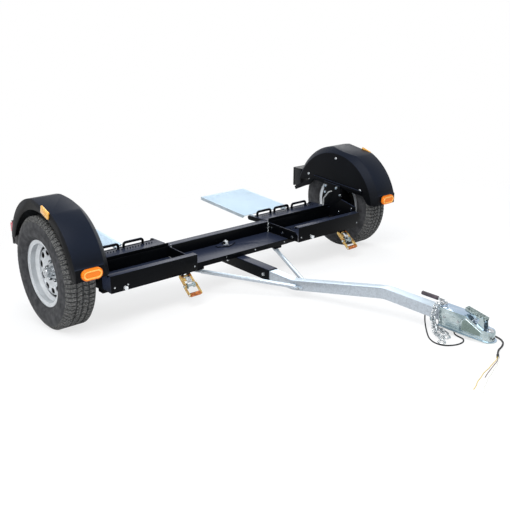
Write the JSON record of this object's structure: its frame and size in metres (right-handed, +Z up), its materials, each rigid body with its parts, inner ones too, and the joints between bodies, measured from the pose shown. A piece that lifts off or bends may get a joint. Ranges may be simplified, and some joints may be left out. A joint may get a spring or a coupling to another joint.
{
  "type": "car tow dolly",
  "caption": "Low steel dolly that carries a towed car's front wheels: trays, hinged ramps, fenders with lamps, braked wheels and a bent drawbar with a ball coupler.",
  "frame": {"origin": "on the floor, in the middle of the width and of the length from the ramps' ends to the coupler's nose, without the loose wiring", "axes": "+Z up, -Y to the coupler, +X to the dolly's left side; parked nose down on both tyres and the coupler, which tips the chassis 7.8 degrees about X"},
  "size_m": [2.6086, 3.1012, 0.7619],
  "materials": {
    "black_steel": "gloss",
    "galvanised_steel": "satin",
    "zinc_plate": "satin",
    "bright_steel": "polished",
    "tyre_rubber": "matte",
    "silver_wheel": "satin",
    "cast_drum": "matte",
    "fender_plastic": "gloss",
    "amber_lens": "gloss",
    "red_lens": "gloss",
    "black_plastic": "matte",
    "grip_vinyl": "satin",
    "gold_zinc": "satin",
    "ramp_steel": "satin",
    "hose_rubber": "matte",
    "white_wire": "matte",
    "yellow_wire": "matte",
    "brown_wire": "matte"
  },
  "bodies": {
    "chassis": {"axle_beam": "black_steel", "brace_brackets": "black_steel", "brake_backing_plates": "cast_drum", "brake_hoses": "hose_rubber", "centre_deck": "black_steel", "chain_hooks": "zinc_plate", "chain_staple": "zinc_plate", "coupler": "zinc_plate", "fender_bars": "black_steel", "front_cross_tube": "black_steel", "left_fender": "fender_plastic", "left_hub_carrier": "black_steel", "loom_loop": "black_plastic", "marker_lamps": "amber_lens", "pivot_bolt": "bright_steel", "pivot_plate": "black_steel", "pull_pin": "bright_steel", "pull_pin_grip": "grip_vinyl", "ratchet_frames": "gold_zinc", "ratchet_hangers": "black_steel", "rear_shelves": "black_steel", "right_fender": "fender_plastic", "right_hub_carrier": "black_steel", "safety_chains": "zinc_plate", "side_reflectors": "amber_lens", "strap_loops": "black_steel", "tail_lamp_boxes": "black_plastic", "tail_lamp_lenses": "red_lens", "tongue": "galvanised_steel", "tongue_braces": "galvanised_steel", "tongue_saddle": "black_steel", "tongue_sleeve": "black_steel", "tray_dividers": "black_steel", "tray_knobs": "bright_steel", "wheel_trays": "black_steel", "wire_brown": "brown_wire", "wire_white": "white_wire", "wire_yellow": "yellow_wire", "wiring_grommet": "black_plastic", "wiring_sheath": "black_plastic", "wiring_tape": "black_plastic"},
    "left_wheel": {"left_tyre": "tyre_rubber", "left_rim": "silver_wheel", "left_hub": "bright_steel"},
    "right_wheel": {"right_tyre": "tyre_rubber", "right_rim": "silver_wheel", "right_hub": "bright_steel"},
    "left_ramp_body": {"left_ramp": "ramp_steel"},
    "right_ramp_body": {"right_ramp": "ramp_steel"},
    "latch": {"coupler_latch": "zinc_plate"},
    "left_spool": {"left_ratchet_spool": "zinc_plate"},
    "right_spool": {"right_ratchet_spool": "zinc_plate"},
    "left_handle": {"left_ratchet_handle": "gold_zinc"},
    "right_handle": {"right_ratchet_handle": "gold_zinc"}
  },
  "joints": [
    {"name": "left_wheel_spin", "type": "hinge", "parent": "chassis", "child": "left_wheel", "pos_m": [1.2005, 0.65827, 0.3315], "axis": [1, 0, 0], "continuous": true},
    {"name": "right_wheel_spin", "type": "hinge", "parent": "chassis", "child": "right_wheel", "pos_m": [-1.2005, 0.65827, 0.3315], "axis": [1, 0, 0], "continuous": true},
    {"name": "left_ramp_hinge", "type": "hinge", "parent": "chassis", "child": "left_ramp_body", "pos_m": [0.6015, 0.86592, 0.32598], "axis": [1, 0, 0], "range_deg": [-42, 0]},
    {"name": "right_ramp_hinge", "type": "hinge", "parent": "chassis", "child": "right_ramp_body", "pos_m": [-0.8425, 0.86592, 0.32598], "axis": [1, 0, 0], "range_deg": [-42, 0]},
    {"name": "latch_lift", "type": "hinge", "parent": "chassis", "child": "latch", "pos_m": [0, -1.356, 0.10806], "axis": [1, 0, 0], "range_deg": [0, 70]},
    {"name": "left_spool_turn", "type": "hinge", "parent": "chassis", "child": "left_spool", "pos_m": [0.87, 0.33883, 0.12494], "axis": [1, 0, 0], "continuous": true},
    {"name": "left_handle_swing", "type": "hinge", "parent": "chassis", "child": "left_handle", "pos_m": [0.87, 0.33883, 0.12494], "axis": [1, 0, 0], "range_deg": [-120, 0]},
    {"name": "right_spool_turn", "type": "hinge", "parent": "chassis", "child": "right_spool", "pos_m": [-0.505, 0.33883, 0.12494], "axis": [1, 0, 0], "continuous": true},
    {"name": "right_handle_swing", "type": "hinge", "parent": "chassis", "child": "right_handle", "pos_m": [-0.505, 0.33883, 0.12494], "axis": [1, 0, 0], "range_deg": [-120, 0]}
  ]
}
